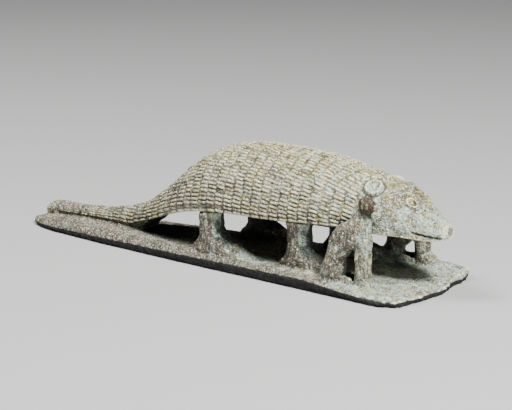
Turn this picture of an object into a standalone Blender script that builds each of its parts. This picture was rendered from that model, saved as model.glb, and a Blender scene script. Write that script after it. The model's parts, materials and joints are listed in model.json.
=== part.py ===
"""Cast bronze figure of an ichneumon on a long plate, with a small seated animal at each side of its neck.

The whole figure is one casting, so it is one closed solid: plate, body, legs and small animals are fused.
+X is the way the ichneumon faces, +Y its left side, +Z up. The origin is on the flat underside, below the
middle of the plate. Lengths below are in millimetres and become metres where the meshes are made.
"""
import math

import bmesh
import bpy
from mathutils import Matrix, Vector

MILLIMETRE = 0.001
NAME = "ichneumon_figure"

# Plate: half its length, its half widths, and its top, which falls away to the broken front edge
PLATE_HALF_LENGTH = 123.3
PLATE_TOP = 6.4
PLATE_HALF_WIDTH = [(-123.3, 3.2), (-120, 6.4), (-112, 11.6), (-88, 16.4), (-44, 21.8), (0, 26.2), (60, 31.6),
                    (90, 34.2), (108, 35.0), (123.3, 35.0)]
PLATE_MIDDLE = [(-123.3, -1.2), (-40, -1.0), (60, -0.2), (90, 0.0), (123.3, 0.0)]
PLATE_TOP_LINE = [(-123.3, 2.8), (-118, 4.2), (-111, 5.6), (-100, 6.4), (40, 6.6), (75, 6.4), (100, 4.6),
                  (123.3, 2.5)]
PLATE_BAND = [(-123.3, 1.2), (-60, 2.6), (10, 3.6), (62, 4.2), (90, 2.4), (123.3, 0.9)]
PLATE_STATIONS = 25
PLATE_LIP_WIDTH = 4.6
PLATE_TOP_COLUMNS = (0.55,)
PLATE_UNDERCUT = 1.6
PLATE_BREAK_LENGTH = 34.0
# The top keeps its height at the left front corner, where the right one is worn away
PLATE_LEFT_RISE = 2.6
PLATE_RISE_START = 84.0
PLATE_RISE_END = 112.0
# How far the broken front edge falls short of the full length, from the right side to the left
FRONT_EDGE = [(-1.0, 15.0), (-0.9, 7.8), (-0.76, 6.0), (-0.62, 7.2), (-0.42, 5.4), (-0.28, 6.6), (-0.1, 4.0),
              (0.06, 5.0), (0.3, 7.4), (0.62, 9.4), (0.86, 10.2), (1.0, 13.0)]

# Body, tail and head: the height of the spine, the height of the fur's hem, and half the width
SPINE = [(-116, 9.4), (-112, 12.0), (-106, 12.4), (-97, 11.8), (-88, 12.4), (-76, 13.4), (-62, 16.0),
         (-52, 19.2), (-41, 25.6), (-30, 33.8), (-18, 43.6), (-6, 51.0), (8, 55.4), (24, 56.9), (42, 56.4),
         (58, 54.9), (72, 52.1), (84, 49.2), (91, 48.5), (97, 48.8), (102, 46.8), (107, 42.4), (113, 38.0),
         (118, 34.8), (122, 32.6)]
HEM = [(-116, 8.2), (-60, 8.6), (-50, 11.2), (-38, 15.2), (-24, 20.2), (-8, 24.6), (10, 27.2), (40, 28.2),
       (66, 29.4), (78, 29.4), (88, 27.6), (104, 27.0), (117, 25.8), (122, 26.6)]
HALF_WIDTH = [(-116, 3.4), (-112, 5.4), (-104, 5.2), (-88, 4.7), (-70, 5.2), (-58, 7.0), (-46, 10.2),
              (-32, 15.0), (-18, 19.8), (-4, 23.2), (14, 25.2), (42, 25.8), (62, 24.6), (78, 21.6),
              (90, 18.0), (100, 15.2), (110, 11.6), (118, 7.0), (122, 4.6)]
BELLY_LIFT = 1.4
HEM_THICKNESS = 2.4
WIDEST_ABOVE_HEM = 0.16
TAIL_SINK = 3.6
TAIL_ON_PLATE_END = -58.0
TAIL_TIP = -117.2
TAIL_TIP_STATIONS = [-116.0, -113.4, -110.6]
TAIL_TIP_SHRINK = 0.45
BELLY_FREE_START = -44.0
BELLY_FULL_LIFT = 0.0
BELLY_LIFT_END = 96.0

# Fur: rows run along the body, columns across it, and each dash is a low pad
FUR_START = -108.0
FUR_END = 84.0
FUR_ROWS = 19
FUR_COLUMNS = 24
FUR_RIDGE = 0.32
FUR_DASH = 0.5
FUR_EDGE_STEP = 0.7
TAIL_FADE_START = -72.0
TAIL_FADE_END = -42.0
EDGE_STEP_START = 24.0
EDGE_STEP_END = 64.0
FUR_PEAK = 7.0
PEAK_SHARE = 0.34
SWEEP_START = 50.0
SWEEP_END = 110.0

# Head
HEAD_STATIONS = [86.0, 91.0, 98.0, 102.0, 106.0, 110.0, 114.0, 118.0, 120.8, 122.0]
NOSE_RADIUS = 3.1
NOSE_HEIGHT = 29.4
NOSE_TIP = 123.3
NOSE_DEPTH = 4.0
NOSE_DISH = 0.7
NOSE_FACING = Vector((1, 0, 0.08))
DISC_RIM = 0.2
# Each stands at a station, and at a share of the way from the spine down to the jaw
EAR_PLACE = (89.2, 0.29)
EAR_RADIUS = 4.3
EAR_DEPTH = 2.7
EAR_DISH = 0.7
EYE_PLACE = (106.4, 0.28)
EYE_LENGTH = 5.6
EYE_HEIGHT = 3.8
EYE_DEPTH = 1.1
EYE_DISH = 0.4
MOUTH_START = Vector((110.5, 11.6, 30.2))
MOUTH_END = Vector((121.6, 4.9, 28.0))
MOUTH_GAP = 0.8
MOUTH_DEPTH = 1.3

# Legs: the column's centre, and for each height the ends of the leg along X and its half width
LEG_SPREAD = 18.6
HIND_LEG_X = 2.4
FORE_LEG_X = 53.4
LEG_SIDES = 12
LEG_LEVELS = [(3.9, -13.4, 33.0, 5.2), (6.4, -12.8, 28.6, 6.0), (8.4, -11.0, 22.4, 6.3),
              (10.6, -8.4, 17.6, 6.2), (12.6, -6.9, 12.6, 6.0), (14.4, -6.2, 9.0, 5.6),
              (18.0, -5.8, 6.8, 5.4), (25.0, -6.2, 6.4, 5.5), (31.0, -8.0, 8.0, 5.6)]
# The left foreleg stands a little further back than the right one, on a longer foot
LEFT_FORE_LEG_BACK = 3.4
LEFT_FOOT_REACH = 7.0
FOOT_TOP = 12.6
FOOT_END = 14.4

# Small seated animals, right and left of the neck
RIGHT_SEAT = Vector((84.0, -24.6, 0))
LEFT_SEAT = Vector((83.0, 24.4, 0))
SEAT_SIDES = 12
LEFT_SEAT_SCALE = 0.64
# Height above the underside, rear and front along X, and half width of the haunch, chest and neck
TRUNK_LEVELS = [(3.4, -14.0, -0.6, 3.8), (6.6, -14.4, -0.8, 5.0), (10.0, -13.2, -1.2, 5.6),
                (16.0, -11.0, -0.9, 5.4), (21.5, -9.8, 4.2, 5.0), (25.0, -9.2, 12.6, 4.9),
                (28.4, -7.6, 13.2, 4.7), (31.6, -3.8, 13.2, 4.3), (34.6, 1.2, 12.8, 3.6),
                (38.2, 4.6, 12.4, 3.1), (41.0, 6.2, 12.2, 3.0)]
FORELEG_LEVELS = [(3.1, 5.2, 14.6, 1.9), (6.6, 5.4, 14.2, 1.9), (8.6, 5.6, 12.6, 1.8), (14.0, 5.8, 12.0, 1.7),
                  (20.0, 5.6, 12.5, 1.8), (27.0, 5.0, 12.6, 2.0)]
FORELEG_SPREAD = 1.95
LEFT_PAW_REACH = 8.0
PAW_HEIGHT = 15.0
HEAD_CENTRE_X = 10.2
HEAD_CENTRE_Z = 42.4
HEAD_SIZE = (10.6, 8.4, 9.4)
SNOUT_END_X = 16.6
SNOUT_Z = 41.1
SMALL_EAR_HEIGHT = 3.4
HIND_FOOT_SIZE = (11.5, 3.2, 5.6)
HIND_FOOT_X = 0.2
HIND_FOOT_SPREAD = 3.4
HIND_FOOT_RAISE = 0.85
SEAT_SINK = 0.4
SKULL_TO_SNOUT = Vector((1.5, 0, -0.2))
SNOUT_RADII = (3.4, 1.7)
SMALL_EAR_PLACE = Vector((-0.6, 2.3, 2.6))
SMALL_EAR_LEAN = Vector((0.2, 0.5, 0))
SMALL_EAR_RADII = (1.7, 0.4)


def clear_scene():
    for item in list(bpy.data.objects):
        bpy.data.objects.remove(item, do_unlink=True)


def bronze():
    """The pale green, brown and grey skin of old buried bronze."""
    material = bpy.data.materials.new("patinated_bronze")
    material.use_nodes = True
    shader = material.node_tree.nodes["Principled BSDF"]
    shader.inputs["Base Color"].default_value = (0.34, 0.35, 0.28, 1.0)
    shader.inputs["Roughness"].default_value = 0.62
    shader.inputs["Metallic"].default_value = 0.35
    return material


def follow(knots, x):
    """The value at x of a smooth line through the knots, which never swings past them."""
    if x <= knots[0][0]:
        return knots[0][1]
    if x >= knots[-1][0]:
        return knots[-1][1]
    steps = [(right[1] - left[1]) / (right[0] - left[0]) for left, right in zip(knots, knots[1:])]
    slopes = [steps[0]]
    for before, after in zip(steps, steps[1:]):
        slopes.append(2 * before * after / (before + after) if before * after > 0 else 0.0)
    slopes.append(steps[-1])
    place = max(index for index in range(len(knots) - 1) if knots[index][0] <= x)
    start, end = knots[place], knots[place + 1]
    span = end[0] - start[0]
    t = (x - start[0]) / span
    return (start[1] * (1 + 2 * t) * (1 - t) ** 2 + end[1] * t * t * (3 - 2 * t)
            + span * (slopes[place] * t * (1 - t) ** 2 + slopes[place + 1] * t * t * (t - 1)))


def blend(low, high, x):
    """Rises smoothly from 0 at low to 1 at high."""
    t = min(1.0, max(0.0, (x - low) / (high - low)))
    return t * t * (3 - 2 * t)


def skin(mesh, rings):
    """Joins closed rings of equal count into a tube with a fan over each end."""
    loops = [[mesh.verts.new(Vector(point) * MILLIMETRE) for point in ring] for ring in rings]
    count = len(loops[0])
    for near, far in zip(loops, loops[1:]):
        for here in range(count):
            there = (here + 1) % count
            mesh.faces.new((near[here], near[there], far[there], far[here]))
    caps = [mesh.faces.new(list(reversed(loops[0]))), mesh.faces.new(loops[-1])]
    bmesh.ops.poke(mesh, faces=caps)


def solid(name, mesh, material):
    """Makes an object of a bmesh, with its faces turned outwards."""
    bmesh.ops.recalc_face_normals(mesh, faces=mesh.faces)
    data = bpy.data.meshes.new(name)
    mesh.to_mesh(data)
    mesh.free()
    data.materials.append(material)
    item = bpy.data.objects.new(name, data)
    bpy.context.collection.objects.link(item)
    return item


def combine(target, tool, operation, solver="EXACT"):
    """Fuses or cuts the target with a tool, which is itself left out of the model."""
    tool.hide_render = True
    tool.display_type = "WIRE"
    step = target.modifiers.new(tool.name, "BOOLEAN")
    step.operation = operation
    step.solver = solver
    step.object = tool


def plate_section(station):
    """The plate's top across X: a rounded lip, the flat middle, and the other lip."""
    half = follow(PLATE_HALF_WIDTH, station)
    top = follow(PLATE_TOP_LINE, station)
    band = follow(PLATE_BAND, station)
    lip = min(PLATE_LIP_WIDTH, 0.45 * half)
    rise = top - band
    right = [(-half, band),
             (-(half - 0.12 * lip), band + 0.45 * rise),
             (-(half - 0.45 * lip), band + 0.84 * rise),
             (-(half - lip), top)]
    right += [(-share * (half - lip), top) for share in PLATE_TOP_COLUMNS]
    section = right + [(0.0, top)] + [(-across, up) for across, up in reversed(right)]
    corner = PLATE_LEFT_RISE * blend(PLATE_RISE_START, PLATE_RISE_END, station)
    return [(across, up + corner * blend(0.2, 0.8, across / half)) for across, up in section]


def plate(material):
    """A slab with a flat underside, undercut edges and a broken front."""
    mesh = bmesh.new()
    tops, floors = [], []
    for index in range(PLATE_STATIONS + 1):
        share = index / PLATE_STATIONS
        station = -PLATE_HALF_LENGTH * math.cos(math.pi * share)
        half = follow(PLATE_HALF_WIDTH, station)
        middle = follow(PLATE_MIDDLE, station)
        pull = blend(PLATE_HALF_LENGTH - PLATE_BREAK_LENGTH, PLATE_HALF_LENGTH, station)
        narrow = 1 - min(PLATE_UNDERCUT, 0.2 * half) / half
        tops.append([])
        floors.append([])
        for across, up in plate_section(station):
            along = station - pull * follow(FRONT_EDGE, across / half)
            tops[-1].append(mesh.verts.new(Vector((along, across + middle, up)) * MILLIMETRE))
            floors[-1].append(mesh.verts.new(Vector((along, across * narrow + middle, 0)) * MILLIMETRE))
    under = []
    for row in range(PLATE_STATIONS):
        top, next_top = tops[row], tops[row + 1]
        floor, next_floor = floors[row], floors[row + 1]
        for here in range(len(top) - 1):
            mesh.faces.new((top[here], next_top[here], next_top[here + 1], top[here + 1]))
            corners = (floor[here], floor[here + 1], next_floor[here + 1], next_floor[here])
            under.append(mesh.faces.new(corners))
        for edge in (0, -1):
            mesh.faces.new((top[edge], next_top[edge], next_floor[edge], floor[edge]))
    for end in (0, -1):
        for here in range(len(tops[0]) - 1):
            mesh.faces.new((tops[end][here], tops[end][here + 1], floors[end][here + 1], floors[end][here]))
    bmesh.ops.dissolve_faces(mesh, faces=under, use_verts=True)
    return solid("plate", mesh, material)


def body_section(station, column):
    """One ring round the body: the furred arch from hem to hem, the hem's lip, and the belly or tail's foot.

    A column of dashes has its number in column; between columns, and on the head, it is None.
    """
    spine = follow(SPINE, station)
    hem = follow(HEM, station)
    half = follow(HALF_WIDTH, station)
    middle = hem + WIDEST_ABOVE_HEM * (spine - hem)
    rise = spine - middle
    turn = math.acos(-(middle - hem) / rise)
    furred = FUR_START <= station <= FUR_END
    fade = 0.55 + 0.45 * blend(TAIL_FADE_START, TAIL_FADE_END, station)
    arch = []
    for step in range(2 * FUR_ROWS + 1):
        angle = turn * (step / FUR_ROWS - 1)
        bump = 0.0
        if furred and step % 2 == 1:
            bump = fade * (FUR_RIDGE + (FUR_DASH if column is not None else 0.0))
        if furred and station > BELLY_FREE_START:
            bump += FUR_EDGE_STEP * blend(EDGE_STEP_START, EDGE_STEP_END, station)
        across = (half + bump) * math.sin(angle)
        up = middle + (rise + bump) * math.cos(angle)
        peak = blend(SWEEP_START, FUR_END, station) * (1 - blend(FUR_END, SWEEP_END, station))
        arch.append((station + FUR_PEAK * peak * (1 - blend(0, PEAK_SHARE, abs(angle) / turn)), across, up))
    on_plate = 1 - blend(TAIL_ON_PLATE_END, BELLY_FREE_START, station)
    thin = min(HEM_THICKNESS, 0.3 * half)
    side = half * math.sin(turn)
    lift = BELLY_LIFT * blend(BELLY_FREE_START, BELLY_FULL_LIFT, station)
    lift *= 1 - blend(FUR_END, BELLY_LIFT_END, station)
    under = hem + lift - (hem - TAIL_SINK) * on_plate
    foot = [(station, side - thin, hem + 0.2 * lift - (hem - TAIL_SINK) * on_plate),
            (station, 0.62 * (side - thin), under),
            (station, -0.62 * (side - thin), under),
            (station, thin - side, hem + 0.2 * lift - (hem - TAIL_SINK) * on_plate)]
    return arch + foot


def body(material):
    mesh = bmesh.new()
    rings = []
    middle = (follow(SPINE, TAIL_TIP_STATIONS[0]) + TAIL_SINK) / 2
    rings.append([(TAIL_TIP, across * TAIL_TIP_SHRINK, middle + (up - middle) * TAIL_TIP_SHRINK)
                  for along, across, up in body_section(TAIL_TIP_STATIONS[0], None)])
    for station in TAIL_TIP_STATIONS:
        rings.append(body_section(station, None))
    pitch = (FUR_END - FUR_START) / (2 * FUR_COLUMNS)
    for index in range(2 * FUR_COLUMNS + 1):
        column = index // 2 if index % 2 == 1 else None
        rings.append(body_section(FUR_START + index * pitch, column))
    for station in HEAD_STATIONS:
        rings.append(body_section(station, None))
    skin(mesh, rings)
    return solid(NAME, mesh, material)


def disc(name, centre, normal, radii, depth, dish, sides, material):
    """A low oval disc lying on the surface, its outer face dished inside a rim."""
    mesh = bmesh.new()
    bmesh.ops.create_cone(mesh, cap_ends=True, segments=sides, radius1=1.0, radius2=0.84, depth=1.0)
    top = [face for face in mesh.faces if face.normal.z > 0.9]
    bmesh.ops.inset_region(mesh, faces=top, thickness=DISC_RIM)
    moved = {vertex for face in top for vertex in face.verts}
    bmesh.ops.translate(mesh, vec=Vector((0, 0, -dish / depth)), verts=list(moved))
    size = Matrix.Diagonal(Vector((radii[0], radii[1], depth, 1)))
    turn = normal.normalized().to_track_quat("Z", "Y").to_matrix().to_4x4()
    place = Matrix.Translation(centre * MILLIMETRE) @ turn @ Matrix.Scale(MILLIMETRE, 4) @ size
    bmesh.ops.transform(mesh, matrix=place, verts=mesh.verts)
    return solid(name, mesh, material)


def mirrored(vector, side):
    return Vector((vector.x, vector.y * side, vector.z))


def on_head(place):
    """The point at a place on the left of the head, and the way the surface faces there."""
    station, share = place

    def point(along, part):
        spine, hem, half = follow(SPINE, along), follow(HEM, along), follow(HALF_WIDTH, along)
        middle = hem + WIDEST_ABOVE_HEM * (spine - hem)
        turn = math.acos(-(middle - hem) / (spine - middle))
        rise = (spine - middle) * math.cos(part * turn)
        return Vector((along, half * math.sin(part * turn), middle + rise))

    here = point(station, share)
    normal = (point(station + 0.5, share) - here).cross(point(station, share + 0.05) - here)
    return here, normal.normalized()


def ear(side, material):
    centre, normal = on_head(EAR_PLACE)
    return disc("ear", mirrored(centre, side), mirrored(normal, side), (EAR_RADIUS, EAR_RADIUS), EAR_DEPTH,
                EAR_DISH, 16, material)


def eye(side, material):
    centre, normal = on_head(EYE_PLACE)
    return disc("eye", mirrored(centre, side), mirrored(normal, side), (EYE_HEIGHT / 2, EYE_LENGTH / 2),
                EYE_DEPTH, EYE_DISH, 12, material)


def nose(material):
    centre = Vector((NOSE_TIP - 0.57 * NOSE_DEPTH, 0.0, NOSE_HEIGHT))
    return disc("nose", centre, NOSE_FACING, (NOSE_RADIUS, NOSE_RADIUS), NOSE_DEPTH, NOSE_DISH, 16, material)


def mouth_cutter(side, material):
    """A thin wedge that cuts the mouth's line along one side of the snout."""
    start = mirrored(MOUTH_START, side)
    end = mirrored(MOUTH_END, side)
    outward = Vector((-(end - start).y, (end - start).x, 0)).normalized() * -side
    if outward.y * side < 0:
        outward = -outward
    mesh = bmesh.new()
    corners = []
    for point, gap in ((start, 0.3 * MOUTH_GAP), (end, MOUTH_GAP)):
        inner = point - outward * MOUTH_DEPTH
        outer = point + outward * 3 * MOUTH_DEPTH
        corners.append([inner, outer + Vector((0, 0, -gap / 2)), outer + Vector((0, 0, gap / 2))])
    skin(mesh, corners)
    return solid("mouth", mesh, material)


def oval(rear, front, half, height, sides):
    """A level ring that is an oval between rear and front."""
    centre = (rear + front) / 2
    reach = (front - rear) / 2
    ring = []
    for index in range(sides):
        angle = math.tau * index / sides
        ring.append((centre + reach * math.cos(angle), half * math.sin(angle), height))
    return ring


def column(name, levels, place, sides, material):
    """A solid of level ovals, moved so that its zero stands at place."""
    mesh = bmesh.new()
    rings = []
    for height, rear, front, half in levels:
        ring = oval(rear, front, half, height, sides)
        rings.append([(place.x + along, place.y + across, place.z + up) for along, across, up in ring])
    skin(mesh, rings)
    return solid(name, mesh, material)


def legs(material):
    made = []
    for centre, side, back, reach in ((HIND_LEG_X, -1, 0, 0), (HIND_LEG_X, 1, 0, 0), (FORE_LEG_X, -1, 0, 0),
                                      (FORE_LEG_X, 1, LEFT_FORE_LEG_BACK, LEFT_FOOT_REACH)):
        levels = [(level, rear, front + reach * (1 - blend(FOOT_TOP, FOOT_END, level)), half)
                  for level, rear, front, half in LEG_LEVELS]
        place = Vector((centre - back, side * LEG_SPREAD, 0))
        made.append(column("leg", levels, place, LEG_SIDES, material))
    return made


def ball(name, centre, size, material, segments=12, rings=8):
    mesh = bmesh.new()
    bmesh.ops.create_uvsphere(mesh, u_segments=segments, v_segments=rings, radius=0.5)
    stretch = Matrix.Diagonal(Vector((size[0], size[1], size[2], 1)))
    place = Matrix.Translation(centre * MILLIMETRE) @ Matrix.Scale(MILLIMETRE, 4) @ stretch
    bmesh.ops.transform(mesh, matrix=place, verts=mesh.verts)
    return solid(name, mesh, material)


def spike(name, base, tip, radii, material):
    """A blunt cone from base to tip."""
    mesh = bmesh.new()
    reach = tip - base
    bmesh.ops.create_cone(mesh, cap_ends=True, segments=8, radius1=radii[0] * MILLIMETRE,
                          radius2=radii[1] * MILLIMETRE, depth=reach.length * MILLIMETRE)
    turn = reach.normalized().to_track_quat("Z", "Y").to_matrix().to_4x4()
    place = Matrix.Translation((base + tip) / 2 * MILLIMETRE) @ turn
    bmesh.ops.transform(mesh, matrix=place, verts=mesh.verts)
    return solid(name, mesh, material)


def seated_animal(place, upright, paw_reach, material):
    """The parts of one small seated animal; upright below 1 lowers it, paw_reach draws its forepaws out."""
    floor = PLATE_TOP - SEAT_SINK

    def height(level):
        return level if level < floor else floor + (level - floor) * upright

    trunk = [(height(level), rear, front, half) for level, rear, front, half in TRUNK_LEVELS]
    foreleg = []
    for level, rear, front, half in FORELEG_LEVELS:
        drawn = paw_reach * (1 - blend(PLATE_TOP, PAW_HEIGHT, level))
        foreleg.append((height(level), rear, front + drawn, half))
    parts = [column("trunk", trunk, place, SEAT_SIDES, material)]
    for side in (-1, 1):
        beside = place + Vector((0, side * FORELEG_SPREAD, 0))
        parts.append(column("foreleg", foreleg, beside, 8, material))
        centre = place + Vector((HIND_FOOT_X, side * HIND_FOOT_SPREAD, floor + HIND_FOOT_RAISE))
        parts.append(ball("hind_foot", centre, HIND_FOOT_SIZE, material, 8, 6))
    skull = place + Vector((HEAD_CENTRE_X, 0, height(HEAD_CENTRE_Z)))
    parts.append(ball("skull", skull, HEAD_SIZE, material))
    snout = place + Vector((SNOUT_END_X, 0, height(SNOUT_Z)))
    parts.append(spike("snout", skull + SKULL_TO_SNOUT, snout, SNOUT_RADII, material))
    for side in (-1, 1):
        base = skull + mirrored(SMALL_EAR_PLACE, side)
        tip = base + mirrored(SMALL_EAR_LEAN, side) + Vector((0, 0, SMALL_EAR_HEIGHT))
        parts.append(spike("small_ear", base, tip, SMALL_EAR_RADII, material))
    return parts


def build():
    clear_scene()
    material = bronze()
    figure = body(material)
    parts = [plate(material), nose(material)]
    parts += legs(material)
    for side in (-1, 1):
        parts.append(ear(side, material))
        parts.append(eye(side, material))
    for part in parts:
        combine(figure, part, "UNION")
    # So many rounded parts meet in each small animal that the exact solver can fail there
    seated = seated_animal(RIGHT_SEAT, 1.0, 0.0, material)
    seated += seated_animal(LEFT_SEAT, LEFT_SEAT_SCALE, LEFT_PAW_REACH, material)
    for part in seated:
        combine(figure, part, "UNION", "MANIFOLD")
    for side in (-1, 1):
        combine(figure, mouth_cutter(side, material), "DIFFERENCE")


build()
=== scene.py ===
# %% [markdown]
# # A cast bronze ichneumon on its plate
# The real figure is one lost-wax casting: a long plate, an ichneumon that walks along it, and a small
# seated animal beside its neck at each side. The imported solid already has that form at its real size. This
# lesson keeps the form and adds what a step closer shows: rows of fur cut with a chisel, an ear, an eye and
# a mouth, worn legs, a rough broken lip round the plate and a green, brown and grey skin.

# %% The frame
import json
import math

import bmesh
import bpy
import numpy as np
from mathutils import Matrix, Vector, noise
from mathutils.bvhtree import BVHTree

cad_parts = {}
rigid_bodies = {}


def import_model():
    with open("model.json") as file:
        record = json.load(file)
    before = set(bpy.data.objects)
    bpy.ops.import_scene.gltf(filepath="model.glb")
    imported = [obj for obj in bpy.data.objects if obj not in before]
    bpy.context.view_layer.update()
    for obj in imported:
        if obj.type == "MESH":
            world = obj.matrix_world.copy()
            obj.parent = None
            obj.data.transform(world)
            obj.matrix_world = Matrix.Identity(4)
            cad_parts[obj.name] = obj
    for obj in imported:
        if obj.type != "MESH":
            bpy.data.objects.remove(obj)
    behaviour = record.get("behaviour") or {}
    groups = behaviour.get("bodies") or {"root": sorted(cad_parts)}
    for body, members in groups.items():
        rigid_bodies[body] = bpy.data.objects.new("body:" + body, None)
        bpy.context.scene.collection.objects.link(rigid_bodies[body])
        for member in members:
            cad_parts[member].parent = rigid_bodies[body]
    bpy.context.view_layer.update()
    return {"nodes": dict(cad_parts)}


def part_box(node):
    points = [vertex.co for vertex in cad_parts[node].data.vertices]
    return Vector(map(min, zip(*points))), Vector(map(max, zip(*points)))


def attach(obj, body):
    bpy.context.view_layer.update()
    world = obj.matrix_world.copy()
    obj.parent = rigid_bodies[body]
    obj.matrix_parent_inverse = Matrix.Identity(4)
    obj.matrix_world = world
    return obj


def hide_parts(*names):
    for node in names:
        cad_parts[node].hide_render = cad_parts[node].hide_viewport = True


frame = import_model()
casting = frame["nodes"]["ichneumon_figure"]
LOW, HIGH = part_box("ichneumon_figure")
MM = 0.001
print("solid, in mm:", [round((HIGH[axis] - LOW[axis]) / MM, 1) for axis in range(3)])

# %% [markdown]
# ## The lines that the body follows
# A modeller in wax works from a side view and a plan. The same lines are kept here, in millimetres: the
# height of the spine, the height of the fur's hem and half the width, each at a few stations along the
# body. A smooth curve through them, which never swings past a point, gives every place between.

# %% Spine, hem and half width
SPINE = [(-116, 9.4), (-112, 12.0), (-106, 12.4), (-97, 11.8), (-88, 12.4), (-76, 13.4), (-62, 16.0),
         (-52, 19.2), (-41, 25.6), (-30, 33.8), (-18, 43.6), (-6, 51.0), (8, 55.4), (24, 56.9), (42, 56.4),
         (58, 54.9), (72, 52.1), (84, 49.2), (91, 48.5), (97, 48.8), (102, 46.8), (107, 42.4), (113, 38.0),
         (118, 34.8), (122, 32.6)]
HEM = [(-116, 8.2), (-60, 8.6), (-50, 11.2), (-38, 15.2), (-24, 20.2), (-8, 24.6), (10, 27.2), (40, 28.2),
       (66, 29.4), (78, 29.4), (88, 27.6), (104, 27.0), (117, 25.8), (122, 26.6)]
HALF_WIDTH = [(-116, 3.4), (-112, 5.4), (-104, 5.2), (-88, 4.7), (-70, 5.2), (-58, 7.0), (-46, 10.2),
              (-32, 15.0), (-18, 19.8), (-4, 23.2), (14, 25.2), (42, 25.8), (62, 24.6), (78, 21.6),
              (90, 18.0), (100, 15.2), (110, 11.6), (118, 7.0), (122, 4.6)]
WIDEST_ABOVE_HEM = 0.16


def follow(knots, x):
    """The value at x, a number or an array, of a smooth line through the knots."""
    stations, values = np.array(knots, float).T
    steps = np.diff(values) / np.diff(stations)
    before, after = steps[:-1], steps[1:]
    agree = before * after > 0
    slopes = np.concatenate(([steps[0]], np.zeros(len(steps) - 1), [steps[-1]]))
    slopes[1:-1][agree] = (2 * before * after / np.where(agree, before + after, 1))[agree]
    x = np.clip(x, stations[0], stations[-1])
    place = np.clip(np.searchsorted(stations, x, side="right") - 1, 0, len(steps) - 1)
    span = stations[place + 1] - stations[place]
    t = (x - stations[place]) / span
    ends = values[place] * (1 + 2 * t) * (1 - t) ** 2 + values[place + 1] * t * t * (3 - 2 * t)
    return ends + span * (slopes[place] * t * (1 - t) ** 2 + slopes[place + 1] * t * t * (t - 1))


def blend(low, high, x):
    """Rises smoothly from 0 at low to 1 at high."""
    t = np.clip((x - low) / (high - low), 0, 1)
    return t * t * (3 - 2 * t)


def section(station):
    """The cross-section: middle height, rise to the spine, half width, hem, and the turn at the hem."""
    spine, hem, half = follow(SPINE, station), follow(HEM, station), follow(HALF_WIDTH, station)
    middle = hem + WIDEST_ABOVE_HEM * (spine - hem)
    return middle, spine - middle, half, hem, np.arccos(-(middle - hem) / (spine - middle))


print("half width at the middle, in mm:", round(float(follow(HALF_WIDTH, 24.0)), 1))

# %% [markdown]
# ## A sheet to carve the fur on
# A carver could lay a thin sheet of wax over a core and wrap it round. The same is done here. A flat grid
# is the sheet: its length runs from the tail's tip to the snout, and its width goes once round the body. A
# grid is used because its rows and columns line up with the rows and columns of the fur, so that each dash
# gets its own few faces and stays crisp. On the head the columns are closer, because an eye is smaller than
# a tuft.

# %% The sheet's rows and columns
ROWS_A_SIDE = 25
STEPS_A_ROW = 4
STEPS_A_DASH = 8
ARCH_STEPS = 2 * ROWS_A_SIDE * STEPS_A_ROW
BELLY_STEPS = 12
FUR_START, FUR_END = -108.0, 84.0
FUR_COLUMNS = 36
DASH_LENGTH = (FUR_END - FUR_START) / FUR_COLUMNS
TAIL_COLUMNS = 11
TAIL_FUR_END = FUR_START + TAIL_COLUMNS * DASH_LENGTH
TAIL_TIP, SNOUT_END = -117.4, 122.0
TIP_STEP, TAIL_STEP, HEAD_STEP = 0.8, DASH_LENGTH / 6, 0.47


def stretch(low, high, step):
    """Even stations from low up to high, about a step apart."""
    return np.linspace(low, high, max(2, int(round((high - low) / step))), endpoint=False)


stations = np.concatenate((stretch(TAIL_TIP, FUR_START, TIP_STEP),
                           stretch(FUR_START, TAIL_FUR_END, TAIL_STEP),
                           stretch(TAIL_FUR_END, FUR_END, DASH_LENGTH / STEPS_A_DASH),
                           stretch(FUR_END, SNOUT_END, HEAD_STEP), [SNOUT_END]))
around = ARCH_STEPS + BELLY_STEPS
sheet = bmesh.new()
bmesh.ops.create_grid(sheet, x_segments=len(stations) - 1, y_segments=around, size=1.0)
print("sheet:", len(stations), "columns by", around + 1, "rows,", len(sheet.verts), "points")

# %% [markdown]
# ## Rows of fur
# The real fur was cut into the wax with a small chisel: rows along the body, each a line of short raised
# dashes that slant down to the front, with a groove beside it and a notch after it. Each dash is worked out
# from its row and its column. A little drift from row to row, and a different height for every dash, give
# the unevenness of hand work.

# %% Where each point lies on the sheet
column = np.tile(np.arange(len(stations)), around + 1)
step_round = np.repeat(np.arange(around + 1), len(stations))
station = stations[column]
share = np.clip(step_round / (ARCH_STEPS / 2) - 1, -1, 1)
under = np.clip((step_round - ARCH_STEPS) / BELLY_STEPS, 0, 1)
on_belly = step_round > ARCH_STEPS
left = share > 0
print("points on the arch:", int((~on_belly).sum()), "and on the belly:", int(on_belly.sum()))

# %% [markdown]
# A carver fits as many rows between the spine and the hem as the chisel's width allows. The way over the
# skin is measured at the middle of each column of dashes and divided by the width of a row.

# %% How many rows fit
ROW_PITCH = 1.85
FEWEST_ROWS = 6
ARC_POINTS = 25


def side_length(station):
    """How far it is over the skin from the spine to the hem."""
    middle, rise, half, hem, turn = section(station)
    steps = np.linspace(0, 1, ARC_POINTS)[:, None] * turn
    across, up = half * np.sin(steps), rise * np.cos(steps)
    return np.hypot(np.diff(across, axis=0), np.diff(up, axis=0)).sum(0)


dash_column = np.floor((stations - FUR_START) / DASH_LENGTH)
lengths = side_length(FUR_START + (dash_column + 0.5) * DASH_LENGTH)
row_counts = np.clip(np.round(lengths / ROW_PITCH), FEWEST_ROWS, ROWS_A_SIDE)
count = row_counts[column]
print("rows a side: from", int(row_counts.min()), "on the tail to", int(row_counts.max()), "on the body")

# %% [markdown]
# Each point now finds its row and its dash. A drift moves whole rows a little, so that the notches of
# neighbouring rows don't line up, as in hand work.

# %% The row and the dash of each point
DRIFT_WAVE, DRIFT_CHANCE = 0.07, 0.16
LEFT_SIDE_NUMBER = 40


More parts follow.
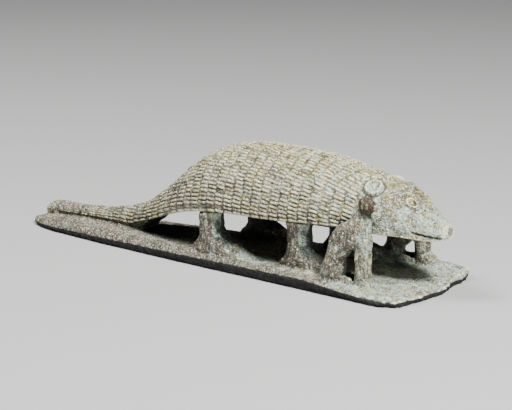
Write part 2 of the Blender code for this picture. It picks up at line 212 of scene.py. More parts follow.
def hash_number(*values):
    """A number from 0 to 1 that looks random but is the same each time."""
    total = sum(value * factor for value, factor in zip(values, (12.9898, 78.233, 37.719)))
    return np.modf(np.abs(np.sin(total) * 43758.5453))[0]


row_place = (1 - abs(share)) * count
row = np.floor(np.clip(row_place, 0, count - 0.001))
row_phase = row_place - row
drift = DRIFT_WAVE * np.sin(row * 0.8 + 2 * left) + DRIFT_CHANCE * (hash_number(row, 3.0 + left) - 0.5)
column_place = (station - FUR_START) / DASH_LENGTH + drift
dash = np.floor(column_place)
dash_phase = column_place - dash
own = row + LEFT_SIDE_NUMBER * left
print("drift of a row: from", round(float(drift.min()), 2), "to", round(float(drift.max()), 2), "of a dash")

# %% [markdown]
# Each dash is a soft-edged pad with a height of its own, and a few are faint, where the fur is worn. The
# tail's fur is lower. The slant shifts each dash down as it runs forward.

# %% How high each dash stands
GROOVE_SHARE, NOTCH_SHARE = 0.36, 0.15
LEAST_NOTCH, MORE_NOTCH = 0.6, 0.9
LEAST_HEIGHT, MORE_HEIGHT = 0.62, 0.5
FAINT_DASHES, FAINT_HEIGHT = 0.07, 0.35
TAIL_HEIGHT, BODY_MORE_HEIGHT = 0.42, 0.58
TAIL_RISE_START, TAIL_RISE_END = -80, -48
FRONT_FADE, TAIL_FADE = 0.7, 5
SLANT = 0.42


def pad(phase, edge):
    """A flat-topped bump over one repeat, with soft edges that take that share of it."""
    return blend(0.0, edge, np.minimum(phase, 1 - phase))


tallness = LEAST_HEIGHT + MORE_HEIGHT * hash_number(dash, own, 5.0)
faint = np.where(hash_number(dash, own, 11.0) < FAINT_DASHES, FAINT_HEIGHT, 1.0)
notch = NOTCH_SHARE * (LEAST_NOTCH + MORE_NOTCH * hash_number(dash, own, 8.0))
fur = pad(row_phase, GROOVE_SHARE) * blend(0.0, notch, np.minimum(dash_phase, 1 - dash_phase))
fur = fur * tallness * faint
tail_fade = TAIL_HEIGHT + BODY_MORE_HEIGHT * blend(TAIL_RISE_START, TAIL_RISE_END, station)
front_fade = 1 - blend(FUR_END - FRONT_FADE, FUR_END, station)
edge_fade = front_fade * blend(FUR_START, FUR_START + TAIL_FADE, station)
fur = fur * edge_fade * ~on_belly
room = np.minimum(1, np.minimum(row_place, count - row_place))
slip = SLANT * (dash_phase - 0.5) * room / count * edge_fade
share = share + np.sign(share) * slip
print("fur:", FUR_COLUMNS, "columns,", round(DASH_LENGTH, 2), "mm a dash, mean height",
      round(float(fur[~on_belly].mean()), 2))

# %% [markdown]
# ## Wrapping the sheet
# Each point of the sheet has a station along the body and a share of the way round. The first part of the
# way round is the arch from hem to hem over the spine, and the rest is the belly, which is hollowed a
# little behind the hem. On the tail the belly sinks into the plate, because the real tail is cast onto it.
# At the crown the columns are swept forward, as the fur's edge comes to a low peak between the ears.

# %% Where each point of the sheet goes
FUR_PEAK = 7.0
PEAK_SHARE = 0.34
SWEEP_START, SWEEP_END = 50.0, 110.0
HEM_THICKNESS = 2.4
BELLY_LIFT = 1.4
TAIL_SINK = 3.6
TAIL_ON_PLATE_END, BELLY_FREE_START = -58.0, -44.0
TIP_ROUND = 3.6
BELLY_PLACES = (0, 0.14, 0.3, 0.7, 0.86, 1)
BELLY_LIFT_END = 96
TIP_CURVE, LEAST_TIP = 2.4, 0.02


def sweep(station, share):
    """How far the fur's columns are drawn forward over the crown."""
    peak = blend(SWEEP_START, FUR_END, station) * (1 - blend(FUR_END, SWEEP_END, station))
    return FUR_PEAK * peak * (1 - blend(0, PEAK_SHARE, abs(share)))


def on_skin(station, share):
    """The point of the plain skin at a station and a share of the way round."""
    middle, rise, half, hem, turn = section(station)
    return np.stack((station + sweep(station, share), half * np.sin(share * turn),
                     middle + rise * np.cos(share * turn)), -1)


middle, rise, half, hem, turn = section(station)
skin_place = on_skin(station, share)
side = half * np.sin(turn)
thin = np.minimum(HEM_THICKNESS, 0.3 * half)
on_plate = 1 - blend(TAIL_ON_PLATE_END, BELLY_FREE_START, station)
lift_fade = 1 - blend(FUR_END, BELLY_LIFT_END, station)
lift = BELLY_LIFT * blend(BELLY_FREE_START, 0, station) * lift_fade
belly_side = np.interp(under, BELLY_PLACES, (1, 1, 0.62, -0.62, -1, -1))
belly_thin = np.interp(under, BELLY_PLACES, (0, -1, -0.62, 0.62, 1, 0))
belly_lift = np.interp(under, BELLY_PLACES, (0, 0.3, 1, 1, 0.3, 0))
belly_sink = np.interp(under, BELLY_PLACES, (0, 1, 1, 1, 1, 0)) * (hem - TAIL_SINK) * on_plate
along = np.where(on_belly, station, skin_place[:, 0])
across = np.where(on_belly, side * belly_side + thin * belly_thin, skin_place[:, 1])
up = np.where(on_belly, hem + lift * belly_lift - belly_sink, skin_place[:, 2])
to_tip = np.clip((TAIL_TIP + TIP_ROUND - station) / TIP_ROUND, 0, 1)
tip = np.sqrt(np.clip(1 - to_tip ** TIP_CURVE, LEAST_TIP, 1))
tip_middle = (follow(SPINE, TAIL_TIP) + TAIL_SINK) / 2
across = across * tip
up = tip_middle + (up - tip_middle) * tip
print("wrapped:", round(float(up.max()), 1), "mm high before carving")

# %% [markdown]
# ## Ear, eye and mouth
# On the real head these are low: the ear is a round dish with a smaller curl inside, the eye is a ring
# under a brow, and the mouth is one drawn line. A ring tool would press them into wax, and a formula does
# the same: each is a ridge or a groove at a set distance from a centre, measured over the skin in
# millimetres.

# %% Distances over the skin
def ridge(distance, centre, width):
    """A soft ridge, 1 high, where distance is at centre."""
    return np.exp(-((distance - centre) / width) ** 2)


def ring(distance, size):
    """A soft ring or groove from its height, its distance from the centre and its width."""
    height, centre, width = size
    return height * ridge(distance, centre, width)


def over_skin(place):
    """How far forward and how far up each point lies from a place on the head, along the skin."""
    station_here, share_here = place
    here = on_skin(np.array(station_here), np.array(share_here))
    forward = on_skin(np.array(station_here + 0.5), np.array(share_here)) - here
    upward = here - on_skin(np.array(station_here), np.array(share_here + 0.05))
    facing = np.cross(forward, upward)
    facing /= np.linalg.norm(facing)
    level = np.array((1.0, 0.0, 0.0)) - facing * facing[0]
    level /= np.linalg.norm(level)
    rising = np.cross(facing, level)
    rising = rising if rising[2] > 0 else -rising
    away = np.stack((along, abs(across), up), -1) - here
    return away @ level, away @ rising


print("a ridge falls to", round(float(ridge(1.0, 0.0, 1.0)), 2), "of its height at one width")

# %% [markdown]
# A ring is given by its height, its distance from the centre and its width. The eye's distances are shares
# of its own length and height, so its rings come out oval.

# %% The ear, the eye and the mouth
EAR_PLACE, EAR_RADIUS = (87.4, 0.29), 4.3
EAR_RIM, EAR_GROOVE = (1.1, EAR_RADIUS - 0.6, 0.6), (-0.8, EAR_RADIUS + 0.8, 0.5)
EAR_FLOOR, EAR_FLOOR_EDGE = 0.3, (3.4, 4.4)
EAR_CURL, CURL_RIDGE, CURL_DIP = (1.6, 1.0), (0.9, 1.9, 0.5), (-0.7, 0, 0.8)
EYE_PLACE, EYE_LENGTH, EYE_HEIGHT = (106.4, 0.28), 5.6, 4.0
EYE_RIM, EYE_BALL, EYE_GROOVE = (0.9, 0.95, 0.22), (0.6, 0, 0.36), (-0.5, 0.52, 0.2)
EYE_SOCKET, BROW, BROW_START = (-0.45, 1.4, 0.22), (0.7, 2.1, 0.3), (-0.4, 1.2)
MOUTH_LINE = [(109.0, 29.8), (111.0, 29.0), (116.0, 27.7), (120.0, 27.0), (122.0, 26.7)]
MOUTH_DEPTH, MOUTH_WIDTH, MOUTH_CORNER = 1.2, 0.5, (108.5, 111)
HEAD_MARGIN = 4


def ear_relief():
    forward, upward = over_skin(EAR_PLACE)
    away = np.hypot(forward, upward)
    curl = np.hypot(forward - EAR_CURL[0], upward - EAR_CURL[1])
    relief = ring(away, EAR_RIM) + EAR_FLOOR * (1 - blend(*EAR_FLOOR_EDGE, away))
    relief += ring(curl, CURL_RIDGE) + ring(curl, CURL_DIP)
    return relief + ring(away, EAR_GROOVE)


def eye_relief():
    forward, upward = over_skin(EYE_PLACE)
    away = np.hypot(forward / (EYE_LENGTH / 2), upward / (EYE_HEIGHT / 2))
    relief = ring(away, EYE_RIM) + ring(away, EYE_BALL) + ring(away, EYE_GROOVE) + ring(away, EYE_SOCKET)
    return relief + ring(away, BROW) * blend(*BROW_START, upward)


def mouth_relief():
    line = np.interp(along, *np.array(MOUTH_LINE).T)
    return -MOUTH_DEPTH * ridge(up, line, MOUTH_WIDTH) * blend(*MOUTH_CORNER, along)


on_head = (station > FUR_END - HEAD_MARGIN) & ~on_belly
head_relief = np.where(on_head, ear_relief() + eye_relief() + mouth_relief(), 0.0)
print("head relief from", round(float(head_relief.min()), 2), "to", round(float(head_relief.max()), 2), "mm")

# %% [markdown]
# ## The sheet becomes the body
# The carver now presses the relief into the sheet: every point is raised or sunk along the way the skin
# faces. The fur stands a little above the bare head, so its edge shows as a step, and it stops short of the
# ear. Each point keeps how deep it was cut, because dirt will settle in the cuts later.

# %% Raising the relief
FUR_HEIGHT = 0.78
UNCUT, LINE_SHADE = 0.8, 0.9
EDGE_STEP, STEP_START, STEP_END, STEP_EDGE = 0.5, 24, 64, 0.3
EAR_MARGIN = 1.2

angle = share * turn
out_across = np.where(on_belly, 0, np.sin(angle))
out_up = np.where(on_belly, 0, np.cos(angle))
step_end = 1 - blend(FUR_END - STEP_EDGE, FUR_END + STEP_EDGE, station)
raised = EDGE_STEP * blend(STEP_START, STEP_END, station) * step_end * ~on_belly
ear_clear = 1 - (np.hypot(*over_skin(EAR_PLACE)) < EAR_RADIUS + EAR_MARGIN) * 1.0
height = (FUR_HEIGHT * fur * tail_fade + raised) * ear_clear + head_relief
points = np.stack((along, across + height * out_across, up + height * out_up), 1) * MM
drawn_lines = np.where(on_head, np.clip(0.5 + LINE_SHADE * head_relief, 0, 1), UNCUT)
furred = (station > FUR_START) & (station < FUR_END) & ~on_belly & (ear_clear > 0)
carved = np.where(furred, fur, drawn_lines)
print("relief stands up to", round(float(height.max()), 2), "mm above the plain skin")

# %% [markdown]
# The carved sheet's two long edges meet under the belly, where they are welded, and both ends are closed
# with small fans of faces. A closed skin is what the joining further down needs.

# %% Closing the sheet
WELD = 0.0005 * MM


def as_object(name, mesh):
    """Puts a finished mesh in the scene under a name."""
    data = bpy.data.meshes.new(name)
    mesh.to_mesh(data)
    mesh.free()
    item = bpy.data.objects.new(name, data)
    bpy.context.collection.objects.link(item)
    return item


sheet.verts.ensure_lookup_table()
groove_layer = sheet.verts.layers.float.new("fur")
for vertex, point, value in zip(sheet.verts, points, carved):
    vertex.co = point
    vertex[groove_layer] = value
bmesh.ops.remove_doubles(sheet, verts=sheet.verts, dist=WELD)
ends = [edge for edge in sheet.edges if edge.is_boundary]
caps = bmesh.ops.holes_fill(sheet, edges=ends, sides=0)["faces"]
bmesh.ops.poke(sheet, faces=caps)
bmesh.ops.recalc_face_normals(sheet, faces=sheet.faces)
print("body:", len(sheet.faces), "faces, open edges:", sum(edge.is_boundary for edge in sheet.edges))
body = as_object("furred_body", sheet)

# %% [markdown]
# ## Plate, legs and small animals
# These were modelled in soft wax, so their forms run into each other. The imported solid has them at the
# right size and place. A copy of it is remeshed with small cubes, its body is drawn in under the carved
# sheet, and then it is smoothed, which rounds every meeting as fingers round wax.

# %% Helpers for whole meshes
def odd_edges(item):
    """How many edges of a mesh don't join just two faces; a closed skin has none."""
    used = np.zeros(len(item.data.loops), np.int32)
    item.data.loops.foreach_get("edge_index", used)
    return int((np.bincount(used, minlength=len(item.data.edges)) != 2).sum())


def triangles_of(item):
    return sum(len(face.vertices) - 2 for face in item.data.polygons)


def apply_modifiers(item):
    """Replaces the mesh of an object with what its modifiers make of it."""
    graph = bpy.context.evaluated_depsgraph_get()
    made = bpy.data.meshes.new_from_object(item.evaluated_get(graph), depsgraph=graph)
    item.modifiers.clear()
    item.data = made


def rows_of(collection, name):
    """One row of three numbers for each point of a mesh."""
    found = np.zeros(len(collection) * 3, np.float32)
    collection.foreach_get(name, found)
    return found.reshape(-1, 3).astype(float)


def places(item):
    return rows_of(item.data.vertices, "co")


def facings(item):
    return rows_of(item.data.vertex_normals, "vector")


def put(item, points):
    """Moves all points of a mesh to the places given."""
    item.data.vertices.foreach_set("co", points.astype(np.float32).ravel())
    item.data.update()


print("carved body:", odd_edges(body), "odd edges,", triangles_of(body), "triangles")

# %% [markdown]
# The copy's own body must not show through the cuts of the carved one, so it is drawn in towards its
# middle. The small animals' faces are drawn in too, as they are slighter than the plain solid's.

# %% A softened copy of the solid
VOXEL = 0.62 * MM
WELD_COPY = 0.001 * MM
DRAWN_IN, SKIN_REACH, HEM_MARGIN = 0.86, 1.1, 0.5
FACE_PULL = 0.17
FACE_CENTRE = (96.0, 24.6, 42.0)
FACE_START, FACE_END, FACE_NEAR, FACE_RISE = 84, 106, 17.5, (37.5, 40.5)
SMOOTH_FACTOR, SMOOTH_PASSES = 0.5, 2


def draw_in(points):
    """Takes the plain body of the copy in under the carved one."""
    x, y, z = (points / MM).T
    middle, rise, half, hem, turn = section(x)
    reach = np.hypot(y / half, (z - middle) / rise)
    inside = (reach < SKIN_REACH) & (z > hem - HEM_MARGIN) & (x > TAIL_TIP)
    moved = points.copy()
    moved[inside, 1] = (y * DRAWN_IN * MM)[inside]
    moved[inside, 2] = ((middle + (z - middle) * DRAWN_IN) * MM)[inside]
    return moved


def slim_faces(points):
    """Draws the small animals' faces in a little."""
    x, y, z = (points / MM).T
    held = (abs(y) > FACE_NEAR) * (x > FACE_START) * (x < FACE_END) * blend(*FACE_RISE, z)
    forward, aside, high = FACE_CENTRE
    centre = np.stack([np.full(len(x), forward), aside * np.sign(y), np.full(len(x), high)], 1) * MM
    return points + (centre - points) * (FACE_PULL * held)[:, None]


copy = bmesh.new()
copy.from_mesh(casting.data)
bmesh.ops.remove_doubles(copy, verts=copy.verts, dist=WELD_COPY)
stand = as_object("plate_and_legs", copy)
remesh = stand.modifiers.new("soft wax", "REMESH")
remesh.mode = "VOXEL"
remesh.voxel_size = VOXEL
remesh.adaptivity = 0.0
apply_modifiers(stand)
put(stand, slim_faces(draw_in(places(stand))))
smooth = stand.modifiers.new("smoothing", "SMOOTH")
smooth.factor = SMOOTH_FACTOR
smooth.iterations = SMOOTH_PASSES
apply_modifiers(stand)
print("softened copy:", len(stand.data.vertices), "points,", odd_edges(stand), "odd edges")

# %% [markdown]
# ## The nose
# The real nose is a small round pad with a raised rim and a slit, set on the blunt end of the snout. It is
# turned as a short drum, its face is inset for the rim and pressed in, and a bevel softens its corners.

# %% Nose
NOSE_RADIUS, NOSE_DEPTH, NOSE_RIM, NOSE_PRESS = 3.35, 4.0, 0.85, 0.9
NOSE_TAPER, NOSE_SIDES, NOSE_ROUND = 0.9, 40, 0.22
NOSE_FACING = Vector((1, 0, 0.08)).normalized()
NOSE_CENTRE = Vector((120.8, 0, 29.4))

drum = bmesh.new()
bmesh.ops.create_cone(drum, cap_ends=True, segments=NOSE_SIDES, radius1=NOSE_RADIUS,
                      radius2=NOSE_RADIUS * NOSE_TAPER, depth=NOSE_DEPTH)
bmesh.ops.triangulate(drum, faces=[face for face in drum.faces if face.normal.z < -0.9])
front = [face for face in drum.faces if len(face.verts) > 4]
bmesh.ops.inset_region(drum, faces=front, thickness=NOSE_RIM)
front_points = list({vertex for face in front for vertex in face.verts})
bmesh.ops.translate(drum, vec=Vector((0, 0, -NOSE_PRESS)), verts=front_points)
rim = [edge for edge in drum.edges if edge.calc_face_angle(0) > 0.6 and edge.verts[0].co.z > 0]
bmesh.ops.bevel(drum, geom=rim, offset=NOSE_ROUND, offset_type="OFFSET", segments=2, profile=0.5,
                affect="EDGES", material=-1)
face_place = NOSE_FACING.to_track_quat("Z", "Y").to_matrix().to_4x4()
bmesh.ops.transform(drum, matrix=Matrix.Scale(MM, 4) @ Matrix.Translation(NOSE_CENTRE) @ face_place,
                    verts=drum.verts)
bmesh.ops.recalc_face_normals(drum, faces=drum.faces)
nose = as_object("nose", drum)
print("nose:", len(nose.data.polygons), "faces,", odd_edges(nose), "odd edges")

# %% [markdown]
# ## Body, stand and nose become one casting
# Metal poured into one mould has no seams. The three closed meshes are joined, and what lies inside another
# of them falls away. The solver used here keeps the result closed.

# %% One casting
for part in (stand, nose):
    plain = part.data.attributes.new("fur", "FLOAT", "POINT")
    plain.data.foreach_set("value", np.full(len(part.data.vertices), UNCUT, np.float32))
    join = body.modifiers.new("one casting", "BOOLEAN")
    join.operation = "UNION"
    join.solver = "MANIFOLD"
    join.object = part
apply_modifiers(body)
bpy.data.objects.remove(stand)
bpy.data.objects.remove(nose)
figure = body
figure.name = "ichneumon_casting"
print("casting:", triangles_of(figure), "triangles,", odd_edges(figure), "odd edges")

# %% [markdown]
# ## Wear, pits and the broken front
# Bronze that lay in the ground is never smooth. The skin has shallow swells, grains of corrosion and pits,
# the lip of the plate is rough all along, and its front edge is broken. Every point is moved a little along
# the way it faces by layered noise, which is the same each time, with its own strength for each part of the
# casting.

# %% Noise over the skin
SWELL, GRAIN, PIT, STREAK = 3.4 * MM, 1.3 * MM, 1.3 * MM * 1.7, 1.9 * MM
PIT_START = 0.28
STREAK_STRETCH = 4.0


def noise_at(points, size, offset, stretch_up=1.0):
    """Noise from about -1 to 1 at each point; above 1, stretch_up draws it out into upright streaks."""
    shift = Vector((offset, offset * 0.7, offset * 1.3))
    spots = points / size / np.array((1, 1, stretch_up))
    return np.array([noise.noise(Vector(spot) + shift) for spot in spots])


places_now, facing = places(figure), facings(figure)
swell = noise_at(places_now, SWELL, 3.1)
grain = noise_at(places_now, GRAIN, 7.7)
pits = -np.clip(noise_at(places_now, PIT, 12.3) - PIT_START, 0, 1)
streaks = noise_at(places_now, STREAK, 21.0, STREAK_STRETCH)
print("share of the skin that is pitted:", round(float((pits < 0).mean()), 2))

# %% [markdown]
# The plate's lip and its broken front are the roughest, the legs come next, and the underside stays flat,
# as the figure stands on it.

# %% Roughening
PLATE_HALF_WIDTH = [(-123.3, 3.2), (-120, 6.4), (-112, 11.6), (-88, 16.4), (-44, 21.8), (0, 26.2),
                    (60, 31.6), (90, 34.2), (108, 35.0), (123.3, 35.0)]
PLATE_TOP, BELOW, ABOVE_FLOOR = 7.8, 0.35, 0.6
LIP_BAND, LIP_EDGE, LIP_FRONT = 6.0, 1.0, (104, 112)
BROKEN_FRONT = (100, 112)
BODY_REACH, BODY_MARGIN, BODY_SIDE = 0.9, 0.5, 1.5
ALL_SWELL, ALL_GRAIN, ALL_PITS = 0.14, 0.07, 0.6
LIP_SWELL, LIP_GRAIN = 0.32, 0.1
BROKEN_SWELL, BROKEN_GRAIN = 0.8, 0.25
LEG_SWELL, LEG_GRAIN, LEG_STREAKS = 0.22, 0.08, 0.4
INSIDE_BOX = 0.00001

x, y, z = (places_now / MM).T
half_plate = follow(PLATE_HALF_WIDTH, x)
on_stand = z < PLATE_TOP
near_side = blend(half_plate - LIP_BAND, half_plate - LIP_EDGE, abs(y))
lip = on_stand * np.maximum(near_side, blend(*LIP_FRONT, x)) * (z > ABOVE_FLOOR)
broken = on_stand * blend(*BROKEN_FRONT, x) * (z > ABOVE_FLOOR)
below = z < BELOW
middle, rise, half, hem, turn = section(x)
in_skin = (np.hypot(y / half, (z - middle) / rise) > BODY_REACH) & (abs(y) < half + BODY_SIDE)
body_here = in_skin & (z > hem - BODY_MARGIN)
legs_here = ~on_stand & ~body_here
amount = ALL_SWELL * swell + ALL_GRAIN * grain + ALL_PITS * pits
amount = amount + lip * (LIP_SWELL * swell + LIP_GRAIN * grain)
amount = amount + broken * (BROKEN_SWELL * swell + BROKEN_GRAIN * grain)
amount = amount + legs_here * (LEG_SWELL * swell + LEG_GRAIN * grain + LEG_STREAKS * streaks)
moved = places_now + facing * (np.where(below, 0, amount) * MM)[:, None]
moved = np.clip(moved, np.array(LOW) + INSIDE_BOX, np.array(HIGH) - INSIDE_BOX)
moved[below, 2] = places_now[below, 2]
put(figure, moved)
print("moved by", round(float(abs(amount).mean()), 2), "mm on average")

# %% [markdown]
# Flat ground needs fewer faces than cut fur, so the mesh is thinned out. That leaves a few faces that fold
# onto each other. They are taken away and the small holes are filled anew, so the skin is closed again.

# %% Thinning out and patching
MOST_TRIANGLES = 190000
MOST_PATCHES = 3


def patch(item):
    """Takes away the few faces at odd edges and fills the holes anew."""
    mesh = bmesh.new()
    mesh.from_mesh(item.data)
    odd = {face for edge in mesh.edges if len(edge.link_faces) != 2
           for end in edge.verts for face in end.link_faces}
    bmesh.ops.delete(mesh, geom=list(odd), context="FACES")
    loose = [vertex for vertex in mesh.verts if not vertex.link_faces]
    bmesh.ops.delete(mesh, geom=loose, context="VERTS")
    rims = [edge for edge in mesh.edges if len(edge.link_faces) == 1]
    filled = bmesh.ops.holes_fill(mesh, edges=rims, sides=0)["faces"]
    bmesh.ops.triangulate(mesh, faces=filled)
    mesh.to_mesh(item.data)
    mesh.free()


thin_out = figure.modifiers.new("fewer faces on flat ground", "DECIMATE")
thin_out.ratio = min(1.0, MOST_TRIANGLES / triangles_of(figure))
apply_modifiers(figure)
print("thinned out:", triangles_of(figure), "triangles,", odd_edges(figure), "odd edges")
for repeat in range(MOST_PATCHES):
    if odd_edges(figure):
        patch(figure)
        print("after patching:", odd_edges(figure), "odd edges")

# %% [markdown]
# ## Where each part of the skin lies
# The colours of old bronze follow its form: dirt stays in hollows, ridges are rubbed pale, and salts bloom
# where water lay. A painter would glance at the form and dab; here each point of the mesh is given a few
# numbers from 0 to 1 that say how hollow it is, how shut in it is, and which colour its part of the casting
# leans to.
#
# A point is in a hollow where the middle of its neighbours lies out in front of it.

# %% Hollows
HOLLOW_PASSES = 2
HOLLOW_STRENGTH = 4.0
NOSE_FACE_START, NOSE_FACE_SHARE = 121.4, 0.6
RIM_HOLLOW, FACE_HOLLOW = 0.1, 1.0

skin_places, skin_facing = places(figure), facings(figure)
edge_ends = np.zeros(len(figure.data.edges) * 2, np.int32)
figure.data.edges.foreach_get("vertices", edge_ends)
edge_ends = edge_ends.reshape(-1, 2)
total = len(skin_places)


def neighbour_mean(values):
    """The mean of a value over the neighbours of each point."""
    first, second = edge_ends.T
    summed = np.bincount(first, values[second], total) + np.bincount(second, values[first], total)
    return summed / np.maximum(np.bincount(edge_ends.ravel(), minlength=total), 1)


centre = np.stack([neighbour_mean(skin_places[:, axis]) for axis in range(3)], 1)
hollow = ((centre - skin_places) * skin_facing).sum(1) / MM
for repeat in range(HOLLOW_PASSES):
    hollow = 0.5 * hollow + 0.5 * neighbour_mean(hollow)
hollow = np.clip(0.5 + HOLLOW_STRENGTH * hollow, 0, 1)
from_nose = np.hypot(skin_places[:, 1], skin_places[:, 2] - NOSE_CENTRE.z * MM) / MM
on_nose = skin_places[:, 0] > NOSE_FACE_START * MM
nose_hollow = np.where(from_nose > NOSE_FACE_SHARE * NOSE_RADIUS, RIM_HOLLOW, FACE_HOLLOW)
hollow = np.where(on_nose, nose_hollow, hollow)
print("hollows measured at", total, "points, mean", round(float(hollow.mean()), 2))

# %% [markdown]
# A place is shut in when most lines of sight from it soon meet the casting again, as between the legs. A
# few lines are sent out from each point, spread evenly over the half of space that it faces.

# %% Shut-in places, for deep green patina and painted shade
RAYS = 14
RAY_REACH, RAY_START = 16 * MM, 0.2
LOWEST_RAY, RAY_RANGE = 0.15, 0.85
GOLDEN_ANGLE = math.pi * (3 - math.sqrt(5))

figure.data.calc_loop_triangles()
tree = BVHTree.FromPolygons([tuple(point) for point in skin_places],
                            [tuple(triangle.vertices) for triangle in figure.data.loop_triangles])
spread = []
for number in range(RAYS):
    lifted = LOWEST_RAY + RAY_RANGE * (number + 0.5) / RAYS
    aside = math.sqrt(1 - lifted * lifted)
    turned = GOLDEN_ANGLE * number
    spread.append(Vector((aside * math.cos(turned), aside * math.sin(turned), lifted)))
shade_and_recess = np.zeros(total)
for index in range(total):
    facing_here = Vector(skin_facing[index])
    start = Vector(skin_places[index]) + facing_here * RAY_START * MM
    turn_here = facing_here.to_track_quat("Z", "Y")
    hits = sum(tree.ray_cast(start, turn_here @ ray, RAY_REACH)[0] is not None for ray in spread)
    shade_and_recess[index] = hits / RAYS
shade_and_recess = 0.5 * shade_and_recess + 0.5 * neighbour_mean(shade_and_recess)
print("mean shut in:", round(float(shade_and_recess.mean()), 2))

# %% [markdown]
# The casting is divided into the zones that a painter would name: plate, ichneumon, small animals, legs,
# rim and head. Their edges are soft, so that no colour ends in a line.

# %% Zones of the casting
x, y, z = (skin_places / MM).T
off_middle = abs(y)
middle, rise, half, hem, turn = section(x)
on_stand = 1 - blend(7.2, 9.0, z)
in_skin = (off_middle < half + 1.6) * (np.hypot(y / half, (z - middle) / rise) > 0.9)
beast = blend(hem - 1.5, hem + 0.5, z) * in_skin
seat = ((x > 68) & (x < 103) & (off_middle > 18.4) & (z > 7) & (beast < 0.5)) * 1.0
snout = blend(112, 114, x) * (z > 22)
limb = (1 - on_stand) * (1 - beast) * (1 - seat) * (1 - snout)
plate_half = follow(PLATE_HALF_WIDTH, x)
rim = on_stand * blend(plate_half - 6, plate_half - 2, off_middle)
head = beast * blend(82, 88, x)
outward = skin_facing[:, 1] * np.sign(y)
front_facing = blend(0.15, 0.6, skin_facing[:, 0])
out_facing = blend(0.2, 0.8, outward)
# The corner where a leg's front meets its outer side faces the lamp at the front right.
lit_corner = blend(0.84, 0.96, 0.8 * skin_facing[:, 0] + 0.6 * outward)
print("shares of plate, ichneumon, small animals and legs:",
      [round(float(zone.mean()), 2) for zone in (on_stand, beast, seat, limb)])

# %% [markdown]
# Each colour gets its leaning from the zones, with a few spots where the real skin shows a patch: bloom on
# the ear, the snout, the small animal's chest and round the feet, and the copper of a worn face. A spot is
# the same on both sides, since only one can be seen.

# %% Which colour each part leans to
PLATE_BAND = [(-123.3, 1.2), (-60, 2.6), (10, 3.6), (62, 4.2), (90, 2.4), (123.3, 0.9)]
EAR_SPOT, SNOUT_SPOT = ((89, 10.5, 44), (7, 8, 7)), ((124, 0, 29), (6, 7, 7))
CHEST_SPOT, CHIN_SHADOW_SPOT = ((96.5, 24.6, 28), (6.5, 8, 13)), ((94, 24.6, 37.6), (6, 6, 2.2))
FACE_SPOT = ((95.8, 24.6, 42.4), (9, 7.5, 6))
MIDDLE_FOOT_SPOT, FRONT_FOOT_SPOT = ((30, 19, 8), (14, 9, 8)), ((78, 19, 8), (10, 9, 6))


def spot(place):
    """1 at a place on either side of the casting, falling to 0 at its reach along X, Y and Z."""
    centre, reach = place
    away = np.sqrt(((x - centre[0]) / reach[0]) ** 2 + ((off_middle - centre[1]) / reach[1]) ** 2
                   + ((z - centre[2]) / reach[2]) ** 2)
    return 1 - blend(0.55, 1.0, away)


brow = blend(94, 99, x)
# On the legs the pale bloom gathers on that lit corner: partly real bloom, partly painted highlight.
bloom = 0.55 * head * (1 - 0.9 * blend(36, 45, z)) + limb * (0.05 + 1.1 * lit_corner)
bloom += seat * (0.1 + 0.7 * spot(CHEST_SPOT)) + on_stand * 0.65 * blend(55, 95, x)
bloom += beast * (0.25 * blend(30, 78, x) * (1 - head)) + 0.5 * rim * blend(98, 112, x)
bloom += 0.9 * spot(EAR_SPOT) + 1.2 * spot(SNOUT_SPOT)
bloom += 0.7 * spot(MIDDLE_FOOT_SPOT) + 0.7 * spot(FRONT_FOOT_SPOT)
earth = on_stand * (0.75 - 0.6 * blend(20, 80, x)) + 0.4 * beast * (1 - blend(-40, 20, x))
earth += head * (0.3 + 0.4 * blend(36, 46, z) * brow) * (1 - blend(117, 120, x))
# On the legs the earthy brown is stronger on the outer faces: partly the legs' own brown, partly painted
# shade from the body above.
earth += limb * (0.5 + 0.5 * out_facing) * (1 - lit_corner) + seat * (1 - blend(88, 92, x)) * (z < 32)
earth += 0.6 * rim * (1 - blend(60, 100, x))
earth *= 1 - 0.8 * (1 - blend(-112, -100, x))
olive = beast * (0.25 + 0.55 * blend(0.5, 0.95, (z - hem) / (rise + 6)) * blend(0, 30, x))
olive += 0.8 * head * blend(38, 46, z) * brow
copper = 1.3 * spot(FACE_SPOT) * seat
green = blend(0.35, 0.75, shade_and_recess) * (0.45 + 0.55 * blend(-20, 30, x)) + 0.75 * rim * blend(96, 110, x)
green += 0.8 * limb * front_facing * (1 - lit_corner)
print("mean leaning to bloom:", round(float(np.clip(bloom, 0, 1).mean()), 2))

# %% [markdown]
# The last leanings are painted shade and dirt: painted shade on the fronts of the legs, a painted shadow
# under each small animal's chin and under the belly, streaks down the upright parts, and a painted shadow
# under the plate's lip.

# %% Painted shade, streaks and the painted shadow under the lip
UNDER_LIP, SHADOW_BAND_SLOPE = 0.8, 0.25

# Painted shade: the fronts of the legs under the body, a spot under each small animal's chin and the plate
# under the belly are darkened where the body's shadow falls.
leg_shade = 0.6 * limb * front_facing * (1 - lit_corner) * (z > 12)
shade_and_recess = shade_and_recess + leg_shade + 0.7 * seat * spot(CHIN_SHADOW_SPOT)
belly_shadow = (1 - blend(half - 4, half + 1, off_middle)) * (1 - blend(hem - 6, hem - 2, z))
shade_and_recess = shade_and_recess + 0.4 * belly_shadow * blend(-60, -40, x) * (1 - blend(98, 112, x))
streaked = limb * (1 - front_facing) + 0.7 * seat + 0.8 * rim * (1 - blend(80, 105, x))
